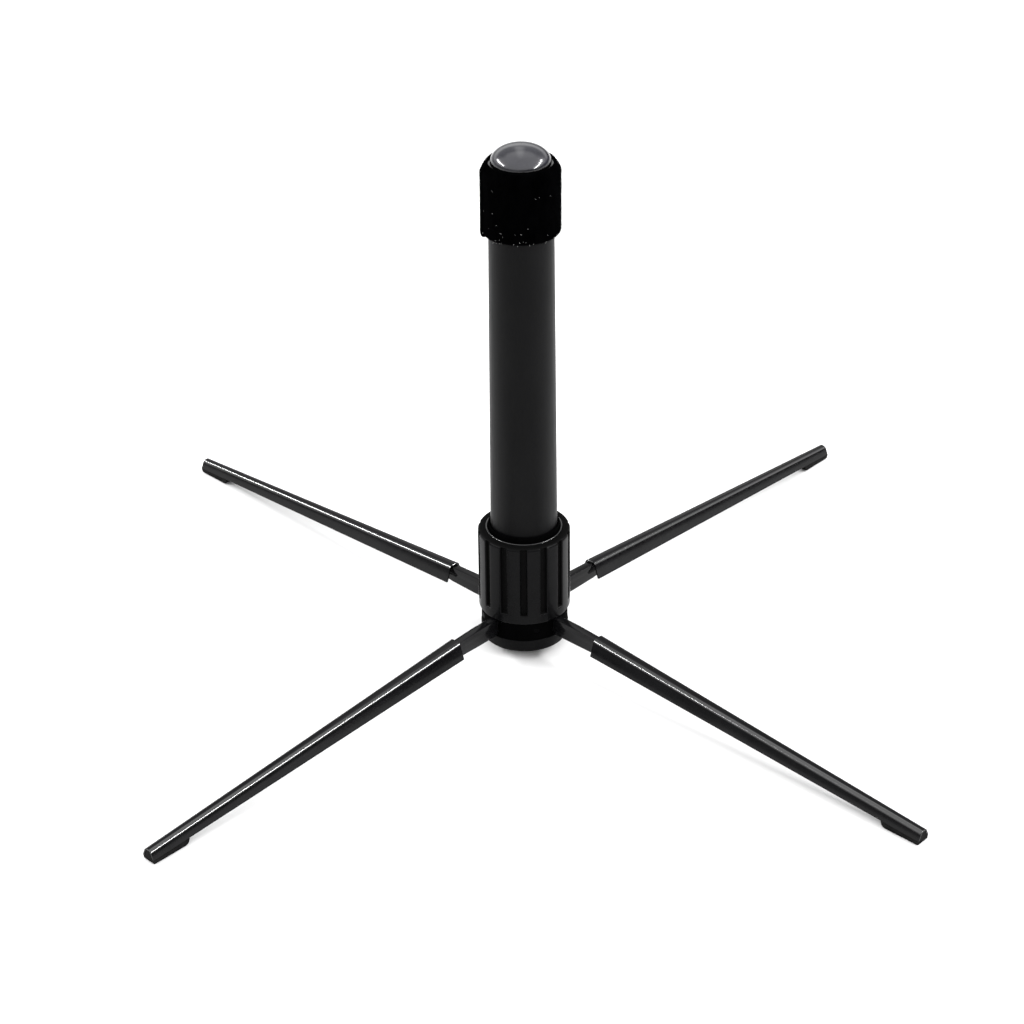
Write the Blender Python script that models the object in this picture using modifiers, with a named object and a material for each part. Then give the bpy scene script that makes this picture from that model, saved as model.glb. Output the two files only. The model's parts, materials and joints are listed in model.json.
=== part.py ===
"""Folding trumpet stand: a velvet-topped stem, a screw-down ribbed grip and four folding legs.

Metres, +Z up. The feet stand on z = 0 and the stem's axis is the Z axis. The legs are modelled
opened out; each one folds up about its pivot pin to lie inside the stem.
"""
import math

import bmesh
import bpy
from mathutils import Vector

MM = 0.001
OBJECT_NAME = "trumpet_stand"
GAP = 0.3 * MM
SEGMENTS = 64
CUTTER_REACH = 5.0 * MM       # how far a cutter runs past what it cuts

# Legs
LEG_COUNT = 4
FIRST_LEG_DEG = 45.0
PIVOT_RADIUS = 7.3 * MM
PIVOT_Z = 10.85 * MM
TIP_RADIUS = 164.3 * MM
TIP_TOP_Z = 4.7 * MM
ARM_ROOT_RADIUS = 33.0 * MM
ARM_ROOT_TOP_Z = 14.3 * MM
ARM_ROOT_SECTION = (1.95 * MM, 3.95 * MM, 5.8 * MM)   # half width on top, at the foot, height
ARM_TIP_SECTION = (1.25 * MM, 2.6 * MM, 3.1 * MM)
ARM_WALL = 0.6 * MM
ARM_BEVEL = 0.25 * MM
BLADE_THICKNESS = 2.8 * MM
BLADE_HALF_HEIGHT = 3.1 * MM
BLADE_BEND_RADIUS = 24.0 * MM
BLADE_END_RADIUS = 52.0 * MM
BLADE_COVER = 0.8 * MM
BLADE_ROOT_SHARE = 1.8        # blade height at the arm's root, over its half height
BLADE_END_SHARE = 0.5
FOOT_LENGTH = 14.0 * MM
FOOT_ROUND = 1.6 * MM
FOOT_TIP_ROUND = 0.5 * MM
FOOT_SETBACK = 0.1 * MM       # behind the arm's tip face
FOOT_TOP_GAP = 0.12 * MM
FOOT_THINNEST = 0.2 * MM
PLUG_CLEARANCE = 0.2 * MM     # inside the arm's channel
PLUG_DROP = 0.6 * MM          # into the shoe below
PLUG_SETBACK = 1.0 * MM       # from the shoe's inner end

# Hub
PLATE_RADIUS = 14.6 * MM
PLATE_BOTTOM = 2.8 * MM
PLATE_FLOOR = 4.6 * MM
PLATE_TOP = 7.3 * MM
PLATE_ROUND = 1.1 * MM
CORE_RADIUS = 14.45 * MM
CORE_SPIGOT_RADIUS = 11.8 * MM
CORE_TOP = 13.95 * MM
BOSS_RADIUS = 10.9 * MM
BOSS_TOP = 26.4 * MM
SLOT_WIDTH = 3.4 * MM
SLOT_FLOOR = 7.45 * MM
SLOT_INNER = 2.4 * MM
PIN_RADIUS = 1.0 * MM
PIN_INNER_END = 5.0 * MM
PIN_FACE_RADIUS = 14.35 * MM
PIN_HOLE_RADIUS = 1.2 * MM
PIN_SEAT_RADIUS = 1.1 * MM
SCREW_RADIUS = 1.3 * MM
SCREW_HEAD_RADIUS = 2.6 * MM
SCREW_TOP = 8.9 * MM
SCREW_RECESS = 0.1 * MM
DRIVE_SHARE = 0.7             # drive cross, over the head's radius
DRIVE_DEPTH = 1.0 * MM

# Grip sleeve and socket
GRIP_RADIUS = 15.3 * MM
GRIP_BOTTOM = 14.3 * MM
GRIP_TOP = 43.9 * MM
GRIP_BEAD_RADIUS = 12.7 * MM
GRIP_BEAD_HEIGHT = 0.4 * MM
GRIP_ROUND = 1.2 * MM
GRIP_THREAD_RADIUS = 11.3 * MM
GRIP_CHAMBER_RADIUS = 13.4 * MM
GRIP_LIP_RADIUS = 12.05 * MM
GRIP_LIP_BOTTOM = 41.5 * MM
GROOVE_COUNT = 14
GROOVE_FIRST_DEG = 267.5
GROOVE_RADIUS = 1.25 * MM
GROOVE_OFFSET = 0.15 * MM     # of a groove's centre line outside the grip
GROOVE_BOTTOM = 17.5 * MM
GROOVE_TOP = 43.2 * MM
SOCKET_RADIUS = 12.15 * MM
SOCKET_FLANGE_RADIUS = 13.1 * MM
SOCKET_FLANGE_BOTTOM = 38.8 * MM
SOCKET_TOP = 45.6 * MM
SOCKET_COLLAR_RADIUS = 11.75 * MM
SOCKET_BORE_RADIUS = 10.0 * MM
SOCKET_SEAT_RADIUS = 11.3 * MM

# Stem
TUBE_BOTTOM = 30.4 * MM
TUBE_TOP = 172.6 * MM
TUBE_FOOT_RADIUS = 11.13 * MM
TUBE_HEAD_RADIUS = 10.13 * MM
TUBE_FOOT_WALL = 1.2 * MM
TUBE_HEAD_WALL = 0.8 * MM
BAND_BOTTOM = 150.5 * MM
BAND_TOP = 173.3 * MM
BAND_RADIUS = 12.65 * MM
BAND_SHOULDER = 1.8 * MM
CAP_RADIUS = 10.1 * MM
CAP_RIM_Z = 172.9 * MM
CAP_SIDE = 0.4 * MM
CAP_DOME_RADIUS = 9.4 * MM
CAP_TOP = 178.6 * MM
CAP_PLUG_RADIUS = 9.0 * MM
CAP_PLUG_BOTTOM = 170.4 * MM
CAP_PLUG_WALL = 1.4 * MM


def clear_scene():
    """Remove what a new file opens with."""
    for obj in list(bpy.data.objects):
        bpy.data.objects.remove(obj, do_unlink=True)


def new_collection(name):
    """Add a collection to the scene."""
    collection = bpy.data.collections.new(name)
    bpy.context.scene.collection.children.link(collection)
    return collection


def plain_material(name, colour, roughness, metallic=0.0):
    """A Principled material in one colour."""
    material = bpy.data.materials.new(name)
    material.use_nodes = True
    shader = material.node_tree.nodes["Principled BSDF"]
    shader.inputs["Base Color"].default_value = (*colour, 1.0)
    shader.inputs["Roughness"].default_value = roughness
    shader.inputs["Metallic"].default_value = metallic
    material.diffuse_color = (*colour, 1.0)
    return material


def add_mesh(name, mesh, collection, material=None, parent=None):
    """Link a mesh as a named object, under a parent empty where it has one."""
    obj = bpy.data.objects.new(name, mesh)
    collection.objects.link(obj)
    if material is not None:
        mesh.materials.append(material)
    if parent is not None:
        obj.parent = parent
    return obj


def add_empty(name, collection, location=(0.0, 0.0, 0.0), turn=0.0):
    """An empty on a joint axis."""
    empty = bpy.data.objects.new(name, None)
    empty.empty_display_size = 10.0 * MM
    empty.location = location
    empty.rotation_euler = (0.0, 0.0, turn)
    collection.objects.link(empty)
    return empty


def arc(centre, radii, start_deg, end_deg, steps):
    """Points on an elliptical arc in the (radius, z) plane."""
    points = []
    for step in range(steps + 1):
        angle = math.radians(start_deg + (end_deg - start_deg) * step / steps)
        points.append((centre[0] + radii[0] * math.cos(angle), centre[1] + radii[1] * math.sin(angle)))
    return points


def turned(name, outline, collection, material, parent=None, closed=True, steps=SEGMENTS):
    """Turn an outline of (radius, z) points round Z. It runs down the outer side first."""
    mesh = bpy.data.meshes.new(name)
    bm = bmesh.new()
    verts = [bm.verts.new((radius, 0.0, height)) for radius, height in outline]
    for first, second in zip(verts, verts[1:]):
        bm.edges.new((first, second))
    if closed:
        bm.edges.new((verts[-1], verts[0]))
    bm.to_mesh(mesh)
    bm.free()
    obj = add_mesh(name, mesh, collection, material, parent)
    screw = obj.modifiers.new("turn", "SCREW")
    screw.axis = "Z"
    screw.steps = steps
    screw.render_steps = steps
    screw.use_merge_vertices = True
    screw.merge_threshold = 0.00001
    screw.use_smooth_shade = True
    return obj


def cylinder(name, radius, start, end, collection, material=None, parent=None, sides=16):
    """A closed cylinder between two points."""
    start = Vector(start)
    end = Vector(end)
    axis = end - start
    mesh = bpy.data.meshes.new(name)
    bm = bmesh.new()
    bmesh.ops.create_cone(
        bm, cap_ends=True, segments=sides, radius1=radius, radius2=radius, depth=axis.length)
    bmesh.ops.rotate(bm, verts=bm.verts, matrix=axis.to_track_quat("Z", "Y").to_matrix())
    bmesh.ops.translate(bm, verts=bm.verts, vec=(start + end) / 2)
    bm.to_mesh(mesh)
    bm.free()
    for polygon in mesh.polygons:
        polygon.use_smooth = len(polygon.vertices) == 4
    return add_mesh(name, mesh, collection, material, parent)


def box(name, low, high, collection, turn=0.0):
    """A closed box between two corners, then turned about Z."""
    low = Vector(low)
    high = Vector(high)
    mesh = bpy.data.meshes.new(name)
    bm = bmesh.new()
    bmesh.ops.create_cube(bm, size=1.0)
    bmesh.ops.scale(bm, verts=bm.verts, vec=high - low)
    bmesh.ops.translate(bm, verts=bm.verts, vec=(low + high) / 2)
    bm.to_mesh(mesh)
    bm.free()
    obj = add_mesh(name, mesh, collection)
    obj.rotation_euler = (0.0, 0.0, turn)
    return obj


def loft(name, rings, collection, material=None, parent=None, closed=True):
    """Join rings of points by quads, as a capped solid or as an open strip."""
    mesh = bpy.data.meshes.new(name)
    bm = bmesh.new()
    rows = [[bm.verts.new(point) for point in ring] for ring in rings]
    count = len(rings[0])
    spans = count if closed else count - 1
    for near, far in zip(rows, rows[1:]):
        for index in range(spans):
            after = (index + 1) % count
            bm.faces.new((near[index], near[after], far[after], far[index]))
    if closed:
        bm.faces.new(list(reversed(rows[0])))
        bm.faces.new(rows[-1])
        bmesh.ops.recalc_face_normals(bm, faces=bm.faces)
    bm.to_mesh(mesh)
    bm.free()
    return add_mesh(name, mesh, collection, material, parent)


def cut(target, cutter, operation="DIFFERENCE"):
    """Cut one object by another, or join them, with a live Boolean."""
    cutter.hide_render = True
    cutter.display_type = "WIRE"
    boolean = target.modifiers.new(cutter.name, "BOOLEAN")
    boolean.operation = operation
    boolean.solver = "EXACT"
    boolean.object = cutter


def leg_angle(index):
    """The compass angle of one leg, in radians."""
    return math.radians(FIRST_LEG_DEG + 360.0 / LEG_COUNT * index)


def arm_line(radius):
    """The height of an arm's top flat, measured from the pivot, at a distance from the axis."""
    share = (radius - ARM_ROOT_RADIUS) / (TIP_RADIUS - ARM_ROOT_RADIUS)
    return ARM_ROOT_TOP_Z + (TIP_TOP_Z - ARM_ROOT_TOP_Z) * share - PIVOT_Z


def arm_section(radius):
    """The arm's half width on top, half width at its foot, and height, at a distance from the axis."""
    share = (radius - ARM_ROOT_RADIUS) / (TIP_RADIUS - ARM_ROOT_RADIUS)
    return [root + (tip - root) * share for root, tip in zip(ARM_ROOT_SECTION, ARM_TIP_SECTION)]


def build_base(collection, cutters, materials):
    """The plate, the slotted core with its boss, the pins and the screw that joins them."""
    plate = [
        (CORE_SPIGOT_RADIUS + GAP, PLATE_TOP),
        (PLATE_RADIUS - GAP, PLATE_TOP),
        (PLATE_RADIUS, PLATE_TOP - GAP),
        *arc((PLATE_RADIUS - PLATE_ROUND, PLATE_BOTTOM + PLATE_ROUND), (PLATE_ROUND,) * 2, 0, -90, 4),
        (SCREW_HEAD_RADIUS + 2 * GAP, PLATE_BOTTOM),
        (SCREW_RADIUS + GAP, PLATE_FLOOR - GAP),
        (SCREW_RADIUS + GAP, PLATE_FLOOR),
        (CORE_SPIGOT_RADIUS + GAP, PLATE_FLOOR),
    ]
    turned("base_plate", plate, collection, materials["satin"])

    core_outline = [
        (0.0, BOSS_TOP),
        (BOSS_RADIUS - 2 * GAP, BOSS_TOP),
        (BOSS_RADIUS, BOSS_TOP - 2 * GAP),
        (BOSS_RADIUS, CORE_TOP),
        (CORE_RADIUS - GAP, CORE_TOP),
        (CORE_RADIUS, CORE_TOP - GAP),
        (CORE_RADIUS, PLATE_TOP + GAP),
        (CORE_SPIGOT_RADIUS, PLATE_TOP + GAP),
        (CORE_SPIGOT_RADIUS, PLATE_FLOOR + GAP),
        (0.0, PLATE_FLOOR + GAP),
    ]
    core = turned("hub_core", core_outline, collection, materials["matte"], closed=False)
    flush = cylinder(
        "pin_face_cutter", PIN_FACE_RADIUS, (0.0, 0.0, 0.0), (0.0, 0.0, BOSS_TOP), cutters, sides=SEGMENTS)
    for index in range(LEG_COUNT):
        turn = leg_angle(index)
        slot = box(
            f"slot_cutter_{index + 1}",
            (SLOT_INNER, -SLOT_WIDTH / 2, SLOT_FLOOR),
            (CORE_RADIUS + CUTTER_REACH, SLOT_WIDTH / 2, BOSS_TOP + CUTTER_REACH),
            cutters, turn)
        cut(core, slot)
        pivot = Vector((PIVOT_RADIUS, 0.0, PIVOT_Z))
        hole = cylinder(
            f"pin_hole_cutter_{index + 1}", PIN_SEAT_RADIUS,
            pivot - Vector((0.0, PIN_INNER_END + GAP, 0.0)),
            pivot + Vector((0.0, CORE_RADIUS, 0.0)), cutters)
        hole.rotation_euler = (0.0, 0.0, turn)
        cut(core, hole)
        pin = cylinder(
            f"pivot_pin_{index + 1}", PIN_RADIUS,
            pivot - Vector((0.0, PIN_INNER_END, 0.0)),
            pivot + Vector((0.0, CORE_RADIUS, 0.0)), collection, materials["dark_steel"])
        pin.rotation_euler = (0.0, 0.0, turn)
        cut(pin, flush, "INTERSECT")
    screw_hole = cylinder(
        "screw_hole_cutter", SCREW_RADIUS + GAP,
        (0.0, 0.0, PLATE_FLOOR - CUTTER_REACH), (0.0, 0.0, SCREW_TOP + GAP), cutters)
    cut(core, screw_hole)

    head_bottom = PLATE_BOTTOM + SCREW_RECESS
    screw_outline = [
        (0.0, SCREW_TOP),
        (SCREW_RADIUS, SCREW_TOP),
        (SCREW_RADIUS, PLATE_FLOOR - GAP),
        (SCREW_HEAD_RADIUS, head_bottom + GAP / 2),
        (SCREW_HEAD_RADIUS, head_bottom),
        (0.0, head_bottom),
    ]
    screw = turned("base_screw", screw_outline, collection, materials["steel"], closed=False, steps=24)
    for index in range(2):
        reach = SCREW_HEAD_RADIUS * DRIVE_SHARE
        drive = box(
            f"screw_drive_cutter_{index + 1}",
            (-reach, -GAP, head_bottom - CUTTER_REACH), (reach, GAP, head_bottom + DRIVE_DEPTH),
            cutters, math.radians(90.0 * index))
        cut(screw, drive)


def blade_outline():
    """The side view of a blade, from the pivot: a round eye, a level bar and a bent end."""
    eye = arc((0.0, 0.0), (BLADE_HALF_HEIGHT,) * 2, 90, 270, 12)
    bend = BLADE_BEND_RADIUS - PIVOT_RADIUS
    end = BLADE_END_RADIUS - PIVOT_RADIUS
    end_top = arm_line(BLADE_END_RADIUS) - BLADE_COVER
    end_low = end_top - BLADE_END_SHARE * BLADE_HALF_HEIGHT
    start_low = arm_line(ARM_ROOT_RADIUS) - BLADE_COVER - BLADE_ROOT_SHARE * BLADE_HALF_HEIGHT
    return [
        *eye,
        (bend, -BLADE_HALF_HEIGHT),
        (ARM_ROOT_RADIUS - PIVOT_RADIUS, start_low),
        (end, end_low),
        (end, end_top),
        (ARM_ROOT_RADIUS - PIVOT_RADIUS, arm_line(ARM_ROOT_RADIUS) - BLADE_COVER),
        (bend, BLADE_HALF_HEIGHT),
    ]


def build_blade(name, collection, material, parent):
    """A flat blade, drawn as an outline with a pin hole and given its thickness."""
    curve = bpy.data.curves.new(name, "CURVE")
    curve.dimensions = "2D"
    curve.fill_mode = "BOTH"
    curve.extrude = BLADE_THICKNESS / 2
    for points in (blade_outline(), arc((0.0, 0.0), (PIN_HOLE_RADIUS,) * 2, 0, 337.5, 15)):
        spline = curve.splines.new("POLY")
        spline.points.add(len(points) - 1)
        for point, (x, y) in zip(spline.points, points):
            point.co = (x, y, 0.0, 1.0)
        spline.use_cyclic_u = True
    curve.materials.append(material)
    obj = bpy.data.objects.new(name, curve)
    obj.rotation_euler = (math.radians(90.0), 0.0, 0.0)
    obj.parent = parent
    collection.objects.link(obj)


def build_arm(name, collection, material, parent):
    """A tapered roof-section channel: three strips given a wall."""
    rings = []
    for radius in (ARM_ROOT_RADIUS, TIP_RADIUS):
        top_half, foot_half, height = arm_section(radius)
        top = arm_line(radius)
        x = radius - PIVOT_RADIUS
        rings.append([
            (x, -foot_half, top - height), (x, -top_half, top),
            (x, top_half, top), (x, foot_half, top - height)])
    arm = loft(name, rings, collection, material, parent, closed=False)
    wall = arm.modifiers.new("wall", "SOLIDIFY")
    wall.thickness = ARM_WALL
    wall.offset = 1.0
    wall.use_even_offset = True
    edges = arm.modifiers.new("edges", "BEVEL")
    edges.width = ARM_BEVEL
    edges.segments = 2
    edges.limit_method = "ANGLE"
    edges.angle_limit = math.radians(30.0)


def foot_rings():
    """Cross sections of the shoe under an arm's tip, from its round inner end outwards."""
    inner = TIP_RADIUS - FOOT_LENGTH
    outer = TIP_RADIUS - FOOT_SETBACK
    underside = arc((inner + FOOT_ROUND, FOOT_ROUND), (FOOT_ROUND,) * 2, 187, 270, 5)
    underside += arc((outer - FOOT_TIP_ROUND, FOOT_TIP_ROUND), (FOOT_TIP_ROUND,) * 2, -90, 0, 3)
    rings = []
    for radius, low in underside:
        foot_half = arm_section(radius)[1]
        top = arm_line(radius) - arm_section(radius)[2] - FOOT_TOP_GAP
        low = min(low - PIVOT_Z, top - FOOT_THINNEST)
        x = radius - PIVOT_RADIUS
        rings.append([
            (x, -foot_half, top), (x, foot_half, top),
            (x, foot_half - GAP, low), (x, -foot_half + GAP, low)])
    return rings


def build_foot(name, collection, cutters, material, parent):
    """A foot: a plug inside the arm's tip joined to a flat shoe below it."""
    foot = loft(name, foot_rings(), collection, material, parent)
    rings = []
    for radius in (TIP_RADIUS - FOOT_LENGTH + PLUG_SETBACK, TIP_RADIUS - FOOT_SETBACK):
        top_half, foot_half, height = arm_section(radius)
        lean = (foot_half - top_half) / height
        side = ARM_WALL * math.hypot(1.0, lean) + PLUG_CLEARANCE
        drop = ARM_WALL + PLUG_CLEARANCE
        top = arm_line(radius)
        x = radius - PIVOT_RADIUS
        top_edge = top_half + lean * drop - side
        low_edge = top_half + lean * height - side
        low = top - height - PLUG_DROP
        rings.append([
            (x, -top_edge, top - drop), (x, top_edge, top - drop), (x, low_edge, top - height),
            (x, low_edge, low), (x, -low_edge, low), (x, -low_edge, top - height)])
    plug = loft(f"{name}_plug", rings, cutters, None, parent)
    cut(foot, plug, "UNION")


def build_legs(collection, cutters, materials):
    """Four legs, each on an empty that stands on its pivot axis."""
    for index in range(LEG_COUNT):
        turn = leg_angle(index)
        place = (PIVOT_RADIUS * math.cos(turn), PIVOT_RADIUS * math.sin(turn), PIVOT_Z)
        pivot = add_empty(f"leg_pivot_{index + 1}", collection, place, turn)
        build_blade(f"leg_blade_{index + 1}", collection, materials["painted"], pivot)
        build_arm(f"leg_arm_{index + 1}", collection, materials["painted"], pivot)
        build_foot(f"foot_pad_{index + 1}", collection, cutters, materials["rubber"], pivot)


def build_grip(collection, cutters, materials, stem):
    """The ribbed screw sleeve, hollow for the boss and the socket's flange."""
    shoulder = GRIP_TOP - GRIP_BEAD_HEIGHT
    round_centre = (GRIP_RADIUS - GRIP_ROUND, shoulder - GRIP_ROUND)
    outline = [
        (GRIP_LIP_RADIUS, GRIP_TOP),
        (GRIP_BEAD_RADIUS - GAP, GRIP_TOP),
        (GRIP_BEAD_RADIUS, shoulder),
        *arc(round_centre, (GRIP_ROUND,) * 2, 90, 0, 4),
        (GRIP_RADIUS, GRIP_BOTTOM + 2 * GAP),
        (GRIP_RADIUS - 2 * GAP, GRIP_BOTTOM),
        (GRIP_THREAD_RADIUS + 2 * GAP, GRIP_BOTTOM),
        (GRIP_THREAD_RADIUS, GRIP_BOTTOM + 2 * GAP),
        (GRIP_THREAD_RADIUS, BOSS_TOP - GAP),
        (GRIP_CHAMBER_RADIUS, BOSS_TOP - GAP),
        (GRIP_CHAMBER_RADIUS, GRIP_LIP_BOTTOM),
        (GRIP_LIP_RADIUS, GRIP_LIP_BOTTOM),
    ]
    grip = turned(
        "grip_sleeve", outline, collection, materials["ribbed"], stem, steps=5 * GROOVE_COUNT)
    centre_radius = GRIP_RADIUS + GROOVE_OFFSET
    for index in range(GROOVE_COUNT):
        angle = math.radians(GROOVE_FIRST_DEG + 360.0 / GROOVE_COUNT * index)
        x = centre_radius * math.cos(angle)
        y = centre_radius * math.sin(angle)
        groove = cylinder(
            f"groove_cutter_{index + 1}", GROOVE_RADIUS,
            (x, y, GROOVE_BOTTOM), (x, y, GROOVE_TOP), cutters, None, stem, sides=14)
        cut(grip, groove)


def build_stem(collection, cutters, materials):
    """The socket, the tapered tube, the velvet band and the domed cap, on one empty."""
    stem = add_empty("stem_axis", collection)
    socket = [
        (SOCKET_SEAT_RADIUS + GAP / 2, SOCKET_TOP),
        (SOCKET_COLLAR_RADIUS - GAP / 2, SOCKET_TOP),
        (SOCKET_COLLAR_RADIUS, SOCKET_TOP - GAP / 2),
        (SOCKET_COLLAR_RADIUS, GRIP_LIP_BOTTOM - GAP),
        (SOCKET_FLANGE_RADIUS, GRIP_LIP_BOTTOM - GAP),
        (SOCKET_FLANGE_RADIUS, SOCKET_FLANGE_BOTTOM),
        (SOCKET_RADIUS, SOCKET_FLANGE_BOTTOM),
        (SOCKET_RADIUS, BOSS_TOP + GAP),
        (SOCKET_BORE_RADIUS, BOSS_TOP + GAP),
        (SOCKET_BORE_RADIUS, TUBE_BOTTOM - GAP),
        (SOCKET_SEAT_RADIUS, TUBE_BOTTOM - GAP),
        (SOCKET_SEAT_RADIUS, SOCKET_TOP - GAP),
    ]
    turned("stem_socket", socket, collection, materials["matte"], stem)
    tube = [
        (TUBE_HEAD_RADIUS, TUBE_TOP),
        (TUBE_FOOT_RADIUS, TUBE_BOTTOM),
        (TUBE_FOOT_RADIUS - TUBE_FOOT_WALL, TUBE_BOTTOM),
        (TUBE_HEAD_RADIUS - TUBE_HEAD_WALL, TUBE_TOP),
    ]
    turned("stem_tube", tube, collection, materials["tube"], stem)
    band = [
        (TUBE_HEAD_RADIUS + GAP, BAND_TOP),
        (CAP_RADIUS + 2 * GAP, BAND_TOP),
        (BAND_RADIUS - GAP, BAND_TOP - BAND_SHOULDER),
        (BAND_RADIUS, BAND_TOP - BAND_SHOULDER - GAP),
        (BAND_RADIUS, BAND_BOTTOM + 3 * GAP),
        (BAND_RADIUS - 2 * GAP, BAND_BOTTOM),
        (TUBE_HEAD_RADIUS + 2 * GAP, BAND_BOTTOM),
    ]
    turned("felt_band", band, collection, materials["velvet"], stem, steps=48)
    rim = CAP_RIM_Z + CAP_SIDE
    cap = [
        (0.0, CAP_TOP),
        *arc((0.0, rim), (CAP_DOME_RADIUS, CAP_TOP - rim), 80, 0, 8),
        (CAP_RADIUS - GAP / 2, rim),
        (CAP_RADIUS, rim - GAP / 2),
        (CAP_RADIUS, CAP_RIM_Z),
        (CAP_PLUG_RADIUS, CAP_RIM_Z),
        (CAP_PLUG_RADIUS, CAP_PLUG_BOTTOM),
        (CAP_PLUG_RADIUS - CAP_PLUG_WALL, CAP_PLUG_BOTTOM),
        (CAP_PLUG_RADIUS - CAP_PLUG_WALL, CAP_RIM_Z - CAP_PLUG_WALL),
        (0.0, CAP_RIM_Z - CAP_PLUG_WALL),
    ]
    turned("end_cap", cap, collection, materials["gloss"], stem, closed=False)
    build_grip(collection, cutters, materials, stem)


def main():
    """Build the whole stand."""
    clear_scene()
    parts = new_collection(OBJECT_NAME)
    cutters = new_collection("cutters")
    materials = {
        "gloss": plain_material("gloss_plastic", (0.012, 0.012, 0.013), 0.12),
        "velvet": plain_material("velvet", (0.003, 0.003, 0.003), 1.0),
        "tube": plain_material("satin_tube", (0.020, 0.020, 0.022), 0.38),
        "ribbed": plain_material("ribbed_plastic", (0.016, 0.016, 0.017), 0.45),
        "satin": plain_material("satin_plastic", (0.014, 0.014, 0.015), 0.40),
        "matte": plain_material("matte_plastic", (0.004, 0.004, 0.004), 0.85),
        "painted": plain_material("painted_steel", (0.012, 0.012, 0.013), 0.33, 0.0),
        "rubber": plain_material("rubber", (0.008, 0.008, 0.008), 0.75),
        "steel": plain_material("steel", (0.45, 0.45, 0.46), 0.35, 1.0),
        "dark_steel": plain_material("dark_steel", (0.02, 0.02, 0.022), 0.45, 1.0),
    }
    build_base(parts, cutters, materials)
    build_legs(parts, cutters, materials)
    build_stem(parts, cutters, materials)


main()
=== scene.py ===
"""Looks of the folding trumpet stand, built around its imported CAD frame.

Metres, +Z up, in the frame of the CAD. The stem's axis is the Z axis and the feet stand on z = 0.
The turned parts, the legs and the velvet band are rebuilt here in finer meshes than the CAD's.
"""
import json
import math
import random

import bmesh
import bpy
from mathutils import Matrix, Vector


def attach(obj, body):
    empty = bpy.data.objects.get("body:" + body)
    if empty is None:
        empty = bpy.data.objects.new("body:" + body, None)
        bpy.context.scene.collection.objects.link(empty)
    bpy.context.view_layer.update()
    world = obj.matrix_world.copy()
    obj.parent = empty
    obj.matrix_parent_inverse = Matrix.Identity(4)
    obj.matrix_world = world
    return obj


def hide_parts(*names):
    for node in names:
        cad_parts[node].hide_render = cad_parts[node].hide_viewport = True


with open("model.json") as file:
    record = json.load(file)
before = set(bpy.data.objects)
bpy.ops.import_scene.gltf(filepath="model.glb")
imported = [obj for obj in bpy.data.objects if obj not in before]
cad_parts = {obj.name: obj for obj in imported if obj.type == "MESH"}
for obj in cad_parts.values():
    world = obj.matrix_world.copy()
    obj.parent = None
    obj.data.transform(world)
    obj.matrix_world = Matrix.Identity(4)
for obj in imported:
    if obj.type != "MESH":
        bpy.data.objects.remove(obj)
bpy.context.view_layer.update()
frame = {"nodes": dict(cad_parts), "record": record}

MM = 0.001
NODES = frame["nodes"]

# Camera, placed by its reach from the stem's axis and its height over the floor
CAMERA_REACH = 0.7176
CAMERA_HEIGHT = 0.4851
CAMERA_SIDE_DEG = 1.5        # how far the camera stands to the left of the front
CAMERA_HEADING_DEG = 1.19
CAMERA_PITCH_DEG = 31.3
CAMERA_ROLL_DEG = -0.67
LENS_MM = 89.8

# Dimensions shared with the CAD
LEG_COUNT = 4
FIRST_LEG_DEG = 45.0
PIVOT_RADIUS = 7.3 * MM
PIVOT_Z = 10.85 * MM
PIN_HOLE_RADIUS = 1.2 * MM
TIP_RADIUS = 164.3 * MM
TIP_TOP_Z = 4.7 * MM
ARM_ROOT_RADIUS = 33.0 * MM
ARM_ROOT_TOP_Z = 14.3 * MM
ARM_ROOT_SECTION = (1.95 * MM, 3.95 * MM, 5.8 * MM)   # half width on top, at the foot, height
ARM_TIP_SECTION = (1.25 * MM, 2.6 * MM, 3.1 * MM)
ARM_WALL = 0.6 * MM
BLADE_THICKNESS = 2.8 * MM
BLADE_HALF_HEIGHT = 3.1 * MM
BLADE_BEND_RADIUS = 24.0 * MM
BLADE_END_RADIUS = 52.0 * MM
BLADE_COVER = 0.8 * MM
BLADE_ROOT_SHARE = 1.8       # blade height at the arm's root, over its half height
BLADE_END_SHARE = 0.5
GRIP_RADIUS = 15.3 * MM
GRIP_BOTTOM = 14.3 * MM
GRIP_TOP = 43.9 * MM
GRIP_BEAD_RADIUS = 12.7 * MM
GRIP_BEAD_HEIGHT = 0.4 * MM
GRIP_ROUND = 1.2 * MM
GRIP_THREAD_RADIUS = 11.3 * MM
GRIP_CHAMBER_RADIUS = 13.4 * MM
GRIP_LIP_RADIUS = 12.05 * MM
GRIP_LIP_BOTTOM = 41.5 * MM
BOSS_RADIUS = 10.9 * MM
SOCKET_RADIUS = 12.15 * MM
SOCKET_FLANGE_RADIUS = 13.1 * MM
SOCKET_FLANGE_BOTTOM = 38.8 * MM
SOCKET_TOP = 45.6 * MM
SOCKET_COLLAR_RADIUS = 11.75 * MM
SOCKET_BORE_RADIUS = 10.0 * MM
SOCKET_SEAT_RADIUS = 11.3 * MM
SOCKET_BOTTOM = 26.7 * MM
PLATE_RADIUS = 14.6 * MM
PLATE_BOTTOM = 2.8 * MM
PLATE_FLOOR = 4.6 * MM
PLATE_TOP = 7.3 * MM
PLATE_ROUND = 1.1 * MM
PLATE_RECESS_RADIUS = 12.1 * MM
SCREW_HEAD_SEAT_RADIUS = 3.2 * MM
SCREW_HOLE_RADIUS = 1.6 * MM
SCREW_SEAT_TOP = 4.3 * MM
GROOVE_COUNT = 14
GROOVE_FIRST_DEG = 267.5
GROOVE_BOTTOM = 17.5 * MM
GROOVE_TOP = 43.2 * MM
GROOVE_DEPTH = 1.08 * MM
GROOVE_HALF_WIDTH = 1.24 * MM
BAND_BOTTOM = 150.5 * MM
BAND_TOP = 173.3 * MM
BAND_RADIUS = 12.65 * MM
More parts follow.
